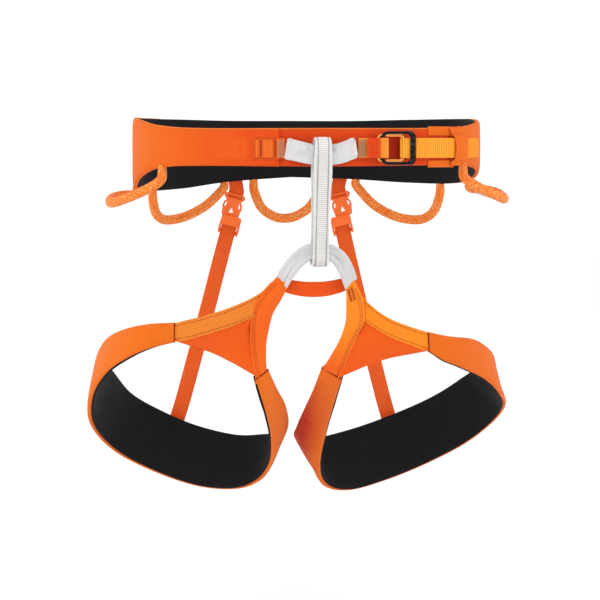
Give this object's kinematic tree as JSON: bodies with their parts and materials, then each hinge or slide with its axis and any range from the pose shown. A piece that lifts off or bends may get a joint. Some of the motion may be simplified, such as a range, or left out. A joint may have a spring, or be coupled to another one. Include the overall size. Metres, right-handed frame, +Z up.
{
  "type": "climbing sit harness",
  "caption": "Climbing sit harness with a padded waist belt, webbing buckle, tie-in points, belay loop, two padded leg loops, gear loops and rear release clips.",
  "frame": {"origin": "centre of the waist opening, level with the middle of the belt's front", "axes": "+Z up, -Y the way the wearer faces, +X to the wearer's left"},
  "size_m": [0.3818, 0.2405, 0.3422],
  "materials": {
    "shell_fabric": "smooth orange ripstop-faced laminate",
    "foam": "closed-cell perforated foam",
    "lining_fabric": "black breathable mesh",
    "orange_webbing": "flat woven polyester webbing",
    "yellow_webbing": "ribbed woven webbing",
    "white_webbing": "white woven webbing with grey lock stitching",
    "core_webbing": "load-bearing webbing inside the sleeve",
    "anodised_aluminium": "black anodised",
    "polished_aluminium": "tumbled and polished",
    "orange_plastic": "moulded acetal",
    "speckled_sheath": "speckled braided sheath",
    "gear_tube": "flexible plastic tube"
  },
  "bodies": {
    "waist_belt": {"waist_shell": "shell_fabric", "waist_foam": "foam", "waist_lining": "lining_fabric", "waist_tongue": "shell_fabric", "front_reinforcement": "shell_fabric", "waist_webbing": "orange_webbing", "tie_in_sleeve": "white_webbing", "tie_in_webbing": "core_webbing", "buckle_inner_frame": "polished_aluminium", "buckle_webbing": "orange_webbing", "adjusting_strap": "yellow_webbing", "strap_keeper": "shell_fabric", "left_rear_stub": "orange_webbing", "left_clip_hook": "orange_plastic", "right_rear_stub": "orange_webbing", "right_clip_hook": "orange_plastic"},
    "waist_buckle_frame": {"buckle_outer_frame": "anodised_aluminium"},
    "belay_loop": {"belay_loop": "white_webbing", "belay_loop_lining": "white_webbing"},
    "lower_tie_in": {"lower_tie_in_sleeve": "white_webbing", "lower_tie_in_webbing": "core_webbing", "leg_loop_crossbar": "orange_webbing"},
    "left_leg_loop": {"left_leg_shell": "shell_fabric", "left_leg_foam": "foam", "left_leg_lining": "lining_fabric", "left_yoke_upper_webbing": "yellow_webbing", "left_yoke_medial_webbing": "orange_webbing", "left_yoke_panel": "shell_fabric", "left_rear_strap": "orange_webbing"},
    "right_leg_loop": {"right_leg_shell": "shell_fabric", "right_leg_foam": "foam", "right_leg_lining": "lining_fabric", "right_yoke_upper_webbing": "yellow_webbing", "right_yoke_medial_webbing": "orange_webbing", "right_yoke_panel": "shell_fabric", "right_rear_strap": "orange_webbing"},
    "left_rear_clip": {"left_clip_catch": "orange_plastic"},
    "right_rear_clip": {"right_clip_catch": "orange_plastic"},
    "front_left_gear_loop": {"front_left_gear_loop_sheath": "speckled_sheath", "front_left_gear_loop_tube": "gear_tube"},
    "rear_left_gear_loop": {"rear_left_gear_loop_sheath": "speckled_sheath", "rear_left_gear_loop_tube": "gear_tube"},
    "rear_centre_gear_loop": {"rear_centre_gear_loop_sheath": "speckled_sheath", "rear_centre_gear_loop_tube": "gear_tube"},
    "rear_right_gear_loop": {"rear_right_gear_loop_sheath": "speckled_sheath", "rear_right_gear_loop_tube": "gear_tube"},
    "front_right_gear_loop": {"front_right_gear_loop_sheath": "speckled_sheath", "front_right_gear_loop_tube": "gear_tube"}
  },
  "joints": [
    {"name": "buckle_tilt", "type": "hinge", "parent": "waist_belt", "child": "waist_buckle_frame", "pos_m": [0.05089, -0.10743, -0.0008], "axis": [0, 0, -1], "range_deg": [0, 35]},
    {"name": "belay_loop_swing", "type": "hinge", "parent": "waist_belt", "child": "belay_loop", "pos_m": [-0.002, -0.1155, -0.006], "axis": [-1, 0, 0], "range_deg": [0, 16]},
    {"name": "lower_tie_in_swing", "type": "hinge", "parent": "belay_loop", "child": "lower_tie_in", "pos_m": [-0.001, -0.099, -0.0876], "axis": [-1, 0, 0], "range_deg": [0, 25]},
    {"name": "left_leg_loop_drop", "type": "hinge", "parent": "lower_tie_in", "child": "left_leg_loop", "pos_m": [-0.032, -0.085, -0.117], "axis": [-1, 0, 0], "range_deg": [0, 30]},
    {"name": "right_leg_loop_drop", "type": "hinge", "parent": "lower_tie_in", "child": "right_leg_loop", "pos_m": [0.0265, -0.085, -0.117], "axis": [-1, 0, 0], "range_deg": [0, 30]},
    {"name": "left_rear_clip_slide", "type": "slide", "parent": "left_leg_loop", "child": "left_rear_clip", "axis": [-0.2564, 0.0483, -0.9654], "range_m": [0, 0.02]},
    {"name": "right_rear_clip_slide", "type": "slide", "parent": "right_leg_loop", "child": "right_rear_clip", "axis": [0.2279, 0.0486, -0.9725], "range_m": [0, 0.02]},
    {"name": "front_left_gear_loop_flex", "type": "hinge", "parent": "waist_belt", "child": "front_left_gear_loop", "pos_m": [-0.13966, -0.01854, -0.02916], "axis": [-0.2061, 0.9482, -0.2417], "range_deg": [-20, 1.5], "stiffness_Nm_per_rad": 0.08},
    {"name": "rear_left_gear_loop_flex", "type": "hinge", "parent": "waist_belt", "child": "rear_left_gear_loop", "pos_m": [-0.09532, 0.07707, -0.03722], "axis": [0.8714, 0.4813, 0.0953], "range_deg": [-20, 8], "stiffness_Nm_per_rad": 0.08},
    {"name": "rear_centre_gear_loop_flex", "type": "hinge", "parent": "waist_belt", "child": "rear_centre_gear_loop", "pos_m": [-0.00296, 0.10086, -0.03053], "axis": [0.9997, 0.0113, 0.0222], "range_deg": [-20, 20], "stiffness_Nm_per_rad": 0.08},
    {"name": "rear_right_gear_loop_flex", "type": "hinge", "parent": "waist_belt", "child": "rear_right_gear_loop", "pos_m": [0.09587, 0.0774, -0.03311], "axis": [0.8791, -0.474, -0.0498], "range_deg": [-20, 12], "stiffness_Nm_per_rad": 0.08},
    {"name": "front_right_gear_loop_flex", "type": "hinge", "parent": "waist_belt", "child": "front_right_gear_loop", "pos_m": [0.13951, -0.02162, -0.02537], "axis": [0.2516, 0.953, -0.1689], "range_deg": [-4, 20], "stiffness_Nm_per_rad": 0.08}
  ]
}
